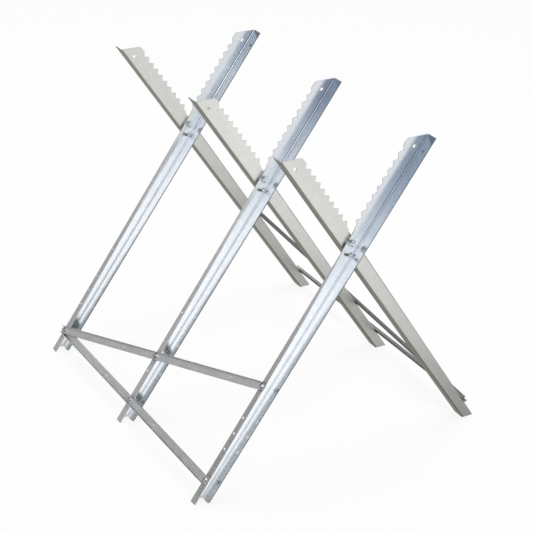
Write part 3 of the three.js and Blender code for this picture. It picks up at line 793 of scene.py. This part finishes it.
def brace_fastener(side, label, place, stacked, metal):
    """A flange bolt through one brace or two and a leg's flange, with its nut inside the channel."""
    matrix = brace_plane(side) @ Matrix.Translation((*place, 0))
    one_brace = BRACE_SHEET + SEAT_GAP
    seat = one_brace * (2 if stacked else 1) + SEAT_GAP
    nut_top = -SHEET - SEAT_GAP
    nut_low = nut_top - BRACE_NUT_HEIGHT
    flange, neck = BRACE_FLANGE / 2, BRACE_HEAD_FLATS / 2 + OVERLAP
    skirt_top = seat + BRACE_FLANGE_HEIGHT
    skirt = revolved(rounded([(0, seat), (flange - RIM_INSET, seat), (flange, seat + RIM), (neck, skirt_top),
                              (0, skirt_top)], ROUNDING), ROUND_COLUMNS)
    head = hexagon_block(BRACE_HEAD_FLATS, seat + RIM, seat + BRACE_HEAD_HEIGHT, BRACE_HEAD_CHAMFER)
    thread = threaded(nut_low - BRACE_TAIL, seat + OVERLAP, BRACE_BOLT, BRACE_PITCH)
    place_mesh(f"bolt_{side}_{label}", [skirt, head, thread], matrix, metal, f"{side}_side",
               replaced=[f"brace_bolt_{side}_{label}"])
    block = hexagon_block(BRACE_NUT_FLATS, nut_low, nut_top, BRACE_NUT_CHAMFER, BRACE_BOLT + 2 * SEAT_GAP)
    place_mesh(f"nut_{side}_{label}", [block], matrix, metal, f"{side}_side",
               replaced=[f"brace_nut_{side}_{label}"])


def brace_fasteners(side, metal):
    """One bolt where both braces meet, then two on each of the other legs of the side."""
    order = FRAMES if side == "near" else FRAMES[::-1]
    rise = HOLE_STEPS * HOLE_PITCH / math.cos(FLANGE_TILT)
    brace_fastener(side, order[0], (0, 0), True, metal)
    for step in (1, 2):
        brace_fastener(side, f"{order[step]}_foot", (step * FRAME_SPACING, 0), False, metal)
        brace_fastener(side, f"{order[step]}_diagonal", (step * FRAME_SPACING, step * rise / 2), False, metal)


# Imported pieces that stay, with softened edges

def soften(piece, width, material):
    """Joins the loose triangles, clears flat faces of inner edges and takes the sharpness off the edges.

    The bevel keeps below the width given, because it stops where small faces would overlap. The last
    modifier lets the largest face set the shading at its corners, so that flat sheet stays flat. It works
    on triangles, because a long thin face would otherwise turn the shading of its neighbours.
    """
    piece.data.materials.clear()
    piece.data.materials.append(material)
    for face in piece.data.polygons:
        face.use_smooth = True
    weld = piece.modifiers.new("weld", "WELD")
    weld.merge_threshold = WELD_REACH
    flatten = piece.modifiers.new("flatten", "DECIMATE")
    flatten.decimate_type = "DISSOLVE"
    flatten.angle_limit = FLAT_WITHIN
    bevel = piece.modifiers.new("edges", "BEVEL")
    bevel.limit_method = "ANGLE"
    bevel.angle_limit = BEVEL_FROM
    bevel.width = width
    bevel.segments = 2
    bevel.use_clamp_overlap = True
    piece.modifiers.new("triangles", "TRIANGULATE")
    even = piece.modifiers.new("even_flats", "WEIGHTED_NORMAL")
    even.mode = "FACE_AREA"
    even.weight = 100
    even.keep_sharp = True


# Studio

def stage_plane(name, corners):
    """One flat face on the stage, with a finish still to be filled."""
    mesh = bpy.data.meshes.new(name)
    mesh.from_pydata(corners, [], [(0, 1, 2, 3)])
    plane = bpy.data.objects.new(name, mesh)
    bpy.context.scene.collection.objects.link(plane)
    finish = Finish(bpy.data.materials.new(name))
    mesh.materials.append(finish.owner)
    return plane, finish


def level_corners(half_x, half_y, height):
    """Corners of a level rectangle around the middle of the set."""
    return [(-half_x, -half_y, height), (half_x, -half_y, height), (half_x, half_y, height),
            (-half_x, half_y, height)]


def studio_floor():
    """Pale floor that is seen white and keeps a soft shadow."""
    half = FLOOR_SPAN / 2
    _floor, finish = stage_plane("studio_floor", level_corners(half, half, -FLOOR_DROP))
    matte = finish.node("BsdfDiffuse", sockets={"Color": FLOOR_GREY})
    white = finish.node("Emission", sockets={"Color": PLAIN_WHITE, "Strength": 1.0})
    share = finish.seen_directly() * FLOOR_GLOW
    mixed = finish.node("MixShader", sockets={0: share, 1: matte.out(0), 2: white.out(0)})
    finish.node("OutputMaterial", sockets={0: mixed.out(0)})


def studio_card(name, corners, tone_of):
    """A flat card beside or under the set that only polished metal shows, so that its faces differ in tone.

    tone_of gives the card's colour from its own coordinates.
    """
    card, finish = stage_plane(name, corners)
    place, _facing = finish.coordinates()
    light = finish.node("Emission", sockets={"Color": rgba(tone_of(finish, *place)), "Strength": 1.0})
    finish.node("OutputMaterial", sockets={0: light.out(0)})
    card.visible_camera = False
    card.visible_diffuse = False
    card.visible_transmission = False
    card.visible_shadow = False


def side_wall_tone(turn):
    """Tones along the wall: white low down and dusk above at one end, a bright strip between, grey at the other."""
    def tone_of(finish, x, y, z):
        along = y * turn
        haze = finish.mix(z.over(*DUSK_FROM), HAZE_BLUE, DUSK_BLUE)
        bright_end = finish.mix(z.over(*PANEL_TOP), PANEL_WHITE, haze)
        strip = finish.mix(z.over(*STRIP_LOW) * z.under(*STRIP_HIGH), STRIP_DARK, STRIP_WHITE)
        middle = finish.mix(along.over(*BRIGHT_END), bright_end, strip)
        far_haze = along.over(*FAR_HAZE_ALONG) * z.over(*FAR_HAZE_LOW) * z.under(*FAR_HAZE_HIGH)
        far_end = finish.mix(far_haze, finish.mix(z.over(*END_DUSK_FROM), CARD_GREY, END_DUSK), FAR_HAZE)
        return finish.mix(along.over(*FAR_END), middle, far_end)
    return tone_of


def end_wall_tone(finish, x, y, z):
    """One dark grey."""
    return END_GREY


def floor_tone(finish, x, y, z):
    """Darker under and beside the row as a painted shadow, pale further off."""
    return finish.mix(y.abs().over(*FLOOR_PALE_FROM), FLOOR_CARD_SHADOW, TABLE_PALE)


def studio_cards():
    """Two side walls, two end walls and a card just above the floor."""
    wall, reach = CARD_DISTANCE, CARD_REACH
    studio_card("studio_card_left", [(-wall, -reach, 0), (-wall, -reach, CARD_HEIGHT),
                                     (-wall, reach, CARD_HEIGHT), (-wall, reach, 0)], side_wall_tone(1.0))
    studio_card("studio_card_right", [(wall, -reach, 0), (wall, reach, 0), (wall, reach, CARD_HEIGHT),
                                      (wall, -reach, CARD_HEIGHT)], side_wall_tone(-1.0))
    for name, place in (("studio_card_front", -END_CARD_DISTANCE), ("studio_card_back", END_CARD_DISTANCE)):
        studio_card(name, [(-wall, place, END_CARD_LOW), (wall, place, END_CARD_LOW),
                           (wall, place, END_CARD_TOP), (-wall, place, END_CARD_TOP)], end_wall_tone)
    studio_card("studio_card_floor", level_corners(wall, reach, -FLOOR_CARD_DROP), floor_tone)


def studio_world():
    """Plain white where it is seen, and a softer light from it."""
    world = bpy.data.worlds.new("studio")
    bpy.context.scene.world = world
    finish = Finish(world)
    soft = finish.node("Background", sockets={"Color": WORLD_SOFT, "Strength": WORLD_LEVEL})
    white = finish.node("Background", sockets={"Color": PLAIN_WHITE, "Strength": 1.0})
    mixed = finish.node("MixShader", sockets={0: finish.seen_directly(), 1: soft.out(0), 2: white.out(0)})
    finish.node("OutputWorld", sockets={0: mixed.out(0)})


def studio_lamp():
    """One large round lamp overhead."""
    lamp = bpy.data.lights.new("overhead", "AREA")
    lamp.shape = "DISK"
    lamp.size = LAMP_SIZE
    lamp.energy = LAMP_POWER
    holder = bpy.data.objects.new("overhead", lamp)
    bpy.context.scene.collection.objects.link(holder)
    holder.location = LAMP_PLACE
    holder.rotation_euler = (Vector(LAMP_AIM) - Vector(LAMP_PLACE)).to_track_quat("-Z", "Y").to_euler()


def photo_camera():
    """Camera from its yaw, pitch and roll, with the focal length given in the photograph's pixels."""
    yaw, pitch, roll = CAMERA_YAW, CAMERA_PITCH, CAMERA_ROLL
    forward = np.array([-math.sin(yaw) * math.cos(pitch), math.cos(yaw) * math.cos(pitch), -math.sin(pitch)])
    level = np.array([math.cos(yaw), math.sin(yaw), 0.0])
    upward = np.cross(level, forward)
    right = level * math.cos(roll) + upward * math.sin(roll)
    top = upward * math.cos(roll) - level * math.sin(roll)
    data = bpy.data.cameras.new("photo_camera")
    data.sensor_width = SENSOR
    data.lens = FOCAL_PIXELS / PHOTO_PIXELS * SENSOR
    data.clip_end = 100.0
    holder = bpy.data.objects.new("photo_camera", data)
    bpy.context.scene.collection.objects.link(holder)
    holder.matrix_world = Matrix.Translation(CAMERA_PLACE) @ Matrix(
        [[right[i], top[i], -forward[i]] for i in range(3)]).to_4x4()
    bpy.context.scene.camera = holder


photo_camera()
studio_floor()
studio_cards()
studio_world()
studio_lamp()
bpy.context.scene.view_settings.view_transform = "Standard"

fastener_metal = fastener_finish()
nylon_white = insert_finish()
for side in ("near", "far"):
    for frame_name in FRAMES:
        soften(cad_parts[f"leg_{side}_{frame_name}"], LEG_EDGE, leg_finish(side, frame_name))
    for piece in ("foot", "diagonal"):
        soften(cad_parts[f"{piece}_brace_{side}"], BRACE_EDGE, brace_finish(side, piece))
for frame_name in FRAMES:
    soften(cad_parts[f"pivot_spacer_{frame_name}"], SPACER_EDGE, fastener_metal)
    pivot_fasteners(frame_name, fastener_metal, nylon_white)
    stop_pin(frame_name, fastener_metal)
for side in ("near", "far"):
    brace_fasteners(side, fastener_metal)
